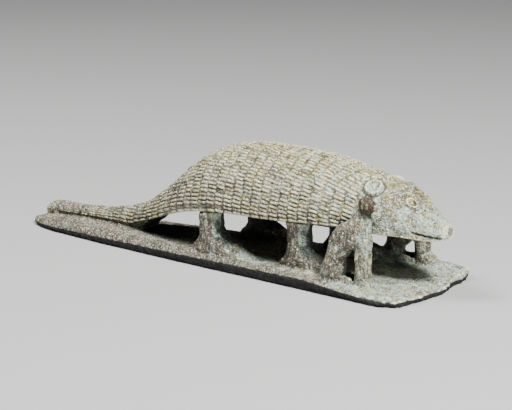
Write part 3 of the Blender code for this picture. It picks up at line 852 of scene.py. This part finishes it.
# A near-black band is painted along the plate's lower edge, below the lip: painted shadow where the plate's
# side and underside lie in shade.
shadow_band = 0.5 + SHADOW_BAND_SLOPE * (follow(PLATE_BAND, x) + UNDER_LIP - z)
for name, values in (("hollow", hollow), ("shade_and_recess", shade_and_recess), ("bloom", bloom), ("earth", earth),
                     ("olive", olive), ("copper", copper), ("green", green), ("shadow_band", shadow_band),
                     ("streaked", streaked)):
    layer = figure.data.attributes.new(name, "FLOAT", "POINT")
    layer.data.foreach_set("value", np.clip(values, 0, 1).astype(np.float32))
    print(name, round(float(np.clip(values, 0, 1).mean()), 2))

# %% [markdown]
# ## Node groups
# Two effects are used again and again on this skin, so each is a group: mottling, which is layered noise
# with its soft edge set by two numbers, and the mottled coat, which lays a colour over another where a mask
# from the form and a mottle agree. Sizes are in millimetres, because that is how one would measure a stain.

# %% Small helpers for nodes
def socket(tree, name, direction, kind, value=None):
    """Gives a group one input or output."""
    made = tree.interface.new_socket(name=name, in_out=direction, socket_type=kind)
    if value is not None:
        made.default_value = value


def join_or_set(tree, node, place, value):
    """Joins an input to another node's output, or sets it to a plain value."""
    if isinstance(value, bpy.types.NodeSocket):
        tree.links.new(value, node.inputs[place])
    else:
        node.inputs[place].default_value = value


def mix_colours(tree, factor, below, above):
    """A Mix node for colours; its inputs 0, 6 and 7 are the factor and the two colours."""
    node = tree.nodes.new("ShaderNodeMix")
    node.data_type = "RGBA"
    for place, value in ((0, factor), (6, below), (7, above)):
        join_or_set(tree, node, place, value)
    return node.outputs[2]


def calculate(tree, operation, first, second):
    node = tree.nodes.new("ShaderNodeMath")
    node.operation = operation
    join_or_set(tree, node, 0, first)
    join_or_set(tree, node, 1, second)
    return node.outputs[0]


def between(tree, value, low, high):
    """0 below low, 1 above high, and smooth from one to the other."""
    node = tree.nodes.new("ShaderNodeMapRange")
    node.interpolation_type = "SMOOTHSTEP"
    join_or_set(tree, node, "Value", value)
    join_or_set(tree, node, "From Min", low)
    join_or_set(tree, node, "From Max", high)
    return node.outputs["Result"]


print("helpers:", [helper.__name__ for helper in (mix_colours, calculate, between)])

# %% [markdown]
# A mottle is noise cut between a low and a high value: close together they give hard-edged stains, further
# apart soft clouds. Stretched upwards it gives the streaks that water leaves.

# %% The mottle
mottle_group = bpy.data.node_groups.new("mottle", "ShaderNodeTree")
for name, value in (("Size in mm", 3.0), ("Detail", 3.0), ("Low", 0.4), ("High", 0.6), ("Stretch up", 1.0)):
    socket(mottle_group, name, "INPUT", "NodeSocketFloat", value)
socket(mottle_group, "Value", "OUTPUT", "NodeSocketFloat")
inside = mottle_group.nodes.new("NodeGroupInput")
outside = mottle_group.nodes.new("NodeGroupOutput")
where = mottle_group.nodes.new("ShaderNodeTexCoord")
cloud = mottle_group.nodes.new("ShaderNodeTexNoise")
per_metre = calculate(mottle_group, "DIVIDE", 1.0 / MM, inside.outputs["Size in mm"])
drawn_out = mottle_group.nodes.new("ShaderNodeVectorMath")
drawn_out.operation = "DIVIDE"
stretches = mottle_group.nodes.new("ShaderNodeCombineXYZ")
stretches.inputs["X"].default_value = 1.0
stretches.inputs["Y"].default_value = 1.0
for given_out, taken_in in ((inside.outputs["Stretch up"], stretches.inputs["Z"]),
                            (where.outputs["Object"], drawn_out.inputs[0]),
                            (stretches.outputs["Vector"], drawn_out.inputs[1]),
                            (drawn_out.outputs["Vector"], cloud.inputs["Vector"]),
                            (per_metre, cloud.inputs["Scale"]),
                            (inside.outputs["Detail"], cloud.inputs["Detail"])):
    mottle_group.links.new(given_out, taken_in)
soft = between(mottle_group, cloud.outputs["Fac"], inside.outputs["Low"], inside.outputs["High"])
mottle_group.links.new(soft, outside.inputs["Value"])


def mottle(tree, size, low, high, detail=3.0, stretch=1.0):
    """Adds the mottle to a material, its size in millimetres."""
    node = tree.nodes.new("ShaderNodeGroup")
    node.node_tree = mottle_group
    for name, value in (("Size in mm", size), ("Low", low), ("High", high), ("Detail", detail),
                        ("Stretch up", stretch)):
        node.inputs[name].default_value = value
    return node.outputs["Value"]


print("mottle:", len(mottle_group.nodes), "nodes")

# %% [markdown]
# A coat covers what is below it where its mask and a mottle add up to enough, so its edge is broken like
# that of a real crust.

# %% The mottled coat
COAT_LOW, COAT_HIGH = 0.3, 0.7
COVER_START, COVER_END = 0.65, 1.25

coat_group = bpy.data.node_groups.new("mottled coat", "ShaderNodeTree")
for name, kind, value in (("Colour below", "NodeSocketColor", None), ("Coat", "NodeSocketColor", None),
                          ("Mask", "NodeSocketFloat", 0.5), ("Size in mm", "NodeSocketFloat", 4.0),
                          ("Strength", "NodeSocketFloat", 0.8)):
    socket(coat_group, name, "INPUT", kind, value)
socket(coat_group, "Colour", "OUTPUT", "NodeSocketColor")
inside = coat_group.nodes.new("NodeGroupInput")
outside = coat_group.nodes.new("NodeGroupOutput")
spots = coat_group.nodes.new("ShaderNodeGroup")
spots.node_tree = mottle_group
spots.inputs["Low"].default_value = COAT_LOW
spots.inputs["High"].default_value = COAT_HIGH
coat_group.links.new(inside.outputs["Size in mm"], spots.inputs["Size in mm"])
reached = calculate(coat_group, "ADD", spots.outputs["Value"], inside.outputs["Mask"])
covered = between(coat_group, reached, COVER_START, COVER_END)
cover = calculate(coat_group, "MULTIPLY", covered, inside.outputs["Strength"])
laid = mix_colours(coat_group, cover, inside.outputs["Colour below"], inside.outputs["Coat"])
coat_group.links.new(laid, outside.inputs["Colour"])


def coat(tree, below, colour, mask, size, strength):
    """Adds a mottled coat to a material, its mottle's size in millimetres."""
    node = tree.nodes.new("ShaderNodeGroup")
    node.node_tree = coat_group
    for name, value in (("Colour below", below), ("Mask", mask), ("Coat", colour), ("Size in mm", size),
                        ("Strength", strength)):
        join_or_set(tree, node, name, value)
    return node.outputs["Colour"]


print("groups:", [group.name for group in bpy.data.node_groups])

# %% [markdown]
# ## The patina
# The skin is built as it grew: a pale grey-green ground, then olive and earthy brown, then a whitish bloom
# and a deeper green, then bare reddish metal on the small animals' faces, then pale and dark grains, then
# dirt in the cuts and hollows, and last a painted shadow under the plate's edge. Ridges are rubbed paler.
# All of it is mineral, so it is rough and not metallic, apart from the bare faces.

# %% Tints
def tint(red, green, blue):
    """A colour as a colour picker shows it, from 0 to 255, made linear for the shader."""
    return tuple((value / 255 / 12.92 if value < 11 else ((value / 255 + 0.055) / 1.055) ** 2.4)
                 for value in (red, green, blue)) + (1.0,)


GROUND_PALE, GROUND_DEEP = tint(170, 165, 134), tint(108, 103, 78)
OLIVE, EARTH, BLOOM = tint(140, 134, 66), tint(80, 68, 58), tint(160, 176, 162)
COPPER, DEEP_GREEN_AND_SHADE, GREEN = tint(64, 46, 33), tint(9, 26, 20), tint(54, 112, 86)
PALE_GRAIN, DARK_GRAIN = tint(240, 239, 222), tint(52, 47, 34)
# The second tint on the next line, near black, is painted shadow for the band under the plate's lip.
CUT, SHADOW_BAND_DARK, RUBBED = tint(44, 40, 27), tint(6, 6, 5), tint(246, 238, 200)
print("the ground's pale tint, made linear:", [round(value, 2) for value in GROUND_PALE])

# %% [markdown]
# Each coat has its colour, the leaning that places it, the size of its mottle in millimetres and how much
# it covers at the most.

# %% Ground and coats
COATS = ((OLIVE, "olive", 8.0, 0.8), (EARTH, "earth", 6.5, 0.8), (BLOOM, "bloom", 4.5, 0.85),
         (GREEN, "green", 3.0, 0.7), (COPPER, "copper", 3.0, 0.95))

patina = bpy.data.materials.new("patinated bronze")
patina.use_nodes = True
skin_nodes = patina.node_tree
shader = skin_nodes.nodes["Principled BSDF"]


def given(name):
    """The value that the mesh carries under a name."""
    node = skin_nodes.nodes.new("ShaderNodeAttribute")
    node.attribute_name = name
    return node.outputs["Fac"]


def times(first, second):
    return calculate(skin_nodes, "MULTIPLY", first, second)


def plus(first, second):
    return calculate(skin_nodes, "ADD", first, second)


skin = mix_colours(skin_nodes, mottle(skin_nodes, 5.5, 0.36, 0.62, 5), GROUND_DEEP, GROUND_PALE)
for colour, leaning, size, strength in COATS:
    skin = coat(skin_nodes, skin, colour, given(leaning), size, strength)
print("coats:", [leaning for colour, leaning, size, strength in COATS])

# %% [markdown]
# Then come the fine things, each over all before it: pale and dark grains, dirt in the cuts, rubbed ridges,
# dirt in hollows, deep green patina and painted shade in shut-in places, streaks, and a painted shadow under
# the plate's lip. The bare faces take few pale grains.

# %% Grains, dirt, rubbing and painted shade
PALE_STRENGTH, DARK_STRENGTH = 0.8, 0.75
BARE_CLEARS = 0.75
CUT_SHALLOW, CUT_DEEP = 0.46, 0.04
CUT_LEAST, CUT_MORE = 0.25, 0.65
RUB_STRENGTH, SETTLED_STRENGTH, GREEN_SHADE_STRENGTH, STREAK_STRENGTH = 0.6, 0.5, 0.93, 0.85


def paint(colour, amount):
    """The skin so far with a colour over it; the amount says where, from 0 to 1."""
    return mix_colours(skin_nodes, amount, skin, colour)


bare = calculate(skin_nodes, "SUBTRACT", PALE_STRENGTH, times(given("copper"), BARE_CLEARS))
skin = paint(PALE_GRAIN, times(mottle(skin_nodes, 0.75, 0.52, 0.66, 3), bare))
skin = paint(DARK_GRAIN, times(mottle(skin_nodes, 0.95, 0.52, 0.66, 4), DARK_STRENGTH))
cut_depth = between(skin_nodes, given("fur"), CUT_SHALLOW, CUT_DEEP)
cut_dirt = plus(CUT_LEAST, times(mottle(skin_nodes, 5.0, 0.35, 0.65), CUT_MORE))
skin = paint(CUT, times(cut_depth, cut_dirt))
skin = paint(RUBBED, times(between(skin_nodes, given("hollow"), 0.42, 0.05), RUB_STRENGTH))
skin = paint(DARK_GRAIN, times(between(skin_nodes, given("hollow"), 0.6, 1.0), SETTLED_STRENGTH))
# Deep green goes over shut-in places: partly green patina in the recesses, partly painted shade between the
# legs and under the body.
skin = paint(DEEP_GREEN_AND_SHADE, times(between(skin_nodes, given("shade_and_recess"), 0.26, 0.8), GREEN_SHADE_STRENGTH))
streak_lines = times(mottle(skin_nodes, 0.8, 0.41, 0.58, 3, 5.0), given("streaked"))
skin = paint(DARK_GRAIN, times(streak_lines, STREAK_STRENGTH))
# The band under the plate's lip is painted shadow, laid over all the rest.
shadow_band_cover = between(skin_nodes, given("shadow_band"), 0.42, 0.54)
skin = paint(SHADOW_BAND_DARK, shadow_band_cover)
skin_nodes.links.new(skin, shader.inputs["Base Color"])
print("colour:", len(skin_nodes.nodes), "nodes")

# %% [markdown]
# Last come the sheen and the grain. The skin is roughest in the band of painted shadow under the plate's
# lip, and only the worn faces show metal.
# A bump of two mottles gives the grain that is too fine for the mesh.

# %% Roughness, metal and grain
LEAST_ROUGH, MORE_ROUGH, SHADOW_BAND_ROUGH = 0.32, 0.3, 0.35
METAL_SHARE = 0.4
COARSE_GRAIN_SHARE = 1.5
GRAIN_HEIGHT = 0.42 * MM

rough = plus(LEAST_ROUGH, times(mottle(skin_nodes, 2.0, 0.3, 0.7), MORE_ROUGH))
skin_nodes.links.new(plus(rough, times(shadow_band_cover, SHADOW_BAND_ROUGH)), shader.inputs["Roughness"])
skin_nodes.links.new(times(given("copper"), METAL_SHARE), shader.inputs["Metallic"])
coarse_grain = times(mottle(skin_nodes, 2.2, 0.2, 0.8, 3), COARSE_GRAIN_SHARE)
bump = skin_nodes.nodes.new("ShaderNodeBump")
bump.inputs["Strength"].default_value = 1.0
bump.inputs["Distance"].default_value = GRAIN_HEIGHT
skin_nodes.links.new(plus(mottle(skin_nodes, 0.8, 0.2, 0.8, 2), coarse_grain), bump.inputs["Height"])
skin_nodes.links.new(bump.outputs["Normal"], shader.inputs["Normal"])
figure.data.materials.clear()
figure.data.materials.append(patina)
figure.data.shade_smooth()
print("patina:", len(skin_nodes.nodes), "nodes")

# %% [markdown]
# The finished mesh takes the place of the plain solid.

# %% The casting takes its place
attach(figure, "root")
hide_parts("ichneumon_figure")
print("in place:", figure.name)

# %% [markdown]
# ## The camera
# The picture was taken with a long lens, a little from above and from the front right. The directions were
# worked out from where the plate's corners and the feet lie in it.

# %% The camera's place and lens
TARGET = Vector((0.0143, 0.0, 0.0268))
DISTANCE = 1.1
AZIMUTH, ELEVATION = math.radians(37.5), math.radians(12.8)
SENSOR = 36.0
FOCAL_PIXELS, PICTURE_WIDTH = 2343.0, 512.0
NEAREST = 0.01

back = Vector((math.sin(AZIMUTH) * math.cos(ELEVATION), -math.cos(AZIMUTH) * math.cos(ELEVATION),
               math.sin(ELEVATION)))
lens = bpy.data.cameras.new("camera")
lens.sensor_width = SENSOR
lens.lens = SENSOR * FOCAL_PIXELS / PICTURE_WIDTH
lens.clip_start = NEAREST
camera = bpy.data.objects.new("camera", lens)
camera.location = TARGET + DISTANCE * back
camera.rotation_euler = back.to_track_quat("Z", "Y").to_euler()
bpy.context.collection.objects.link(camera)
bpy.context.scene.camera = camera
print("lens:", round(lens.lens, 1), "mm")

# %% [markdown]
# ## Floor and light
# The figure stands on a plain pale ground. A small, strong lamp high at the front right gives the bright
# backs of the fur and the dark belly, a weak one in front opens the legs, and a broad one behind lifts the
# tail.

# %% The floor
FLOOR_COLOUR, FLOOR_ROUGHNESS = (0.4, 0.4, 0.396, 1), 0.85
FLOOR_HALF_SIZE = 3.0

floor_mesh = bmesh.new()
bmesh.ops.create_grid(floor_mesh, x_segments=1, y_segments=1, size=FLOOR_HALF_SIZE)
floor = as_object("floor", floor_mesh)
pale = bpy.data.materials.new("pale floor")
pale.use_nodes = True
pale_shader = pale.node_tree.nodes["Principled BSDF"]
pale_shader.inputs["Base Color"].default_value = FLOOR_COLOUR
pale_shader.inputs["Roughness"].default_value = FLOOR_ROUGHNESS
floor.data.materials.append(pale)
print("floor:", 2 * FLOOR_HALF_SIZE, "m wide")

# %% [markdown]
# Each lamp is a flat box of light turned to the figure, with its place and size in metres.

# %% The lamps
LAMPS = (("key light", (0.68, -0.28, 0.9), (0.24, 0.24), 32),
         ("front light", (0.95, -0.42, 0.25), (0.3, 0.2), 2.5),
         ("top light", (-0.45, -0.25, 0.9), (0.4, 0.4), 12))
SKY_COLOUR, SKY_STRENGTH = (0.8, 0.82, 0.84, 1), 0.02

for name, place, size, power in LAMPS:
    lamp = bpy.data.lights.new(name, "AREA")
    lamp.shape = "RECTANGLE"
    lamp.size, lamp.size_y = size
    lamp.energy = power
    item = bpy.data.objects.new(name, lamp)
    item.location = place
    item.rotation_euler = (Vector(place) - TARGET).to_track_quat("Z", "Y").to_euler()
    bpy.context.collection.objects.link(item)
world = bpy.data.worlds.new("studio")
world.use_nodes = True
world.node_tree.nodes["Background"].inputs["Color"].default_value = SKY_COLOUR
world.node_tree.nodes["Background"].inputs["Strength"].default_value = SKY_STRENGTH
bpy.context.scene.world = world
print("lamps:", [name for name, place, size, power in LAMPS])
